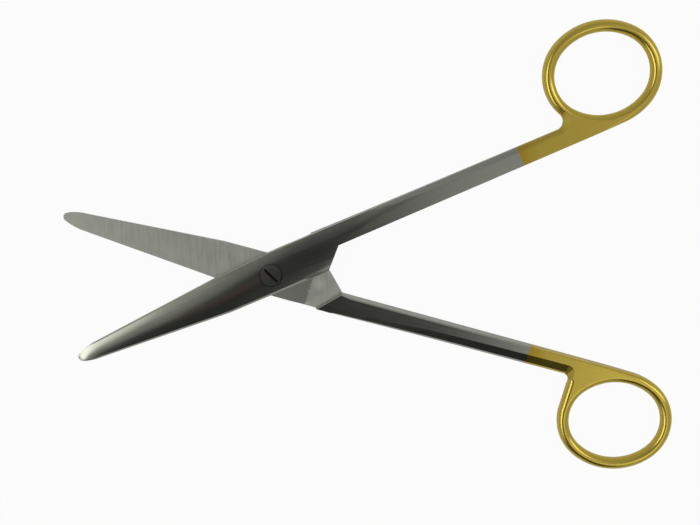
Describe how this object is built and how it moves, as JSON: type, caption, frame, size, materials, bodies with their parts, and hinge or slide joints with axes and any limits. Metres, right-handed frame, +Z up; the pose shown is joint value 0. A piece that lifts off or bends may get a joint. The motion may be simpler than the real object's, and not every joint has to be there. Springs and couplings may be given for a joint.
{
  "type": "dissecting scissors",
  "caption": "Surgical dissecting scissors with straight blunt-tipped blades, a slotted pivot screw, long shanks and oval finger rings, held open at the pivot.",
  "frame": {"origin": "on the resting plane, on the pivot axis: the end of the pivot screw, flush with the lower half's outer face", "axes": "+X along the middle line between the halves, from the pivot to the finger rings; +Y towards the upper half's ring; +Z up, out of the face with the screw's slot"},
  "size_m": [0.1563, 0.1194, 0.0047],
  "materials": {
    "half_steel": "satin stainless steel, gold plated on the rings and the last stretch of each shank",
    "screw_steel": "satin stainless steel"
  },
  "bodies": {
    "lower": {"bottom_half": "half_steel", "joint_screw": "screw_steel"},
    "upper": {"top_half": "half_steel"}
  },
  "joints": [
    {"name": "pivot", "type": "hinge", "parent": "lower", "child": "upper", "pos_m": [0, 0, 0.00236], "axis": [0, 0, 1], "range_deg": [-38.96, 90]}
  ]
}
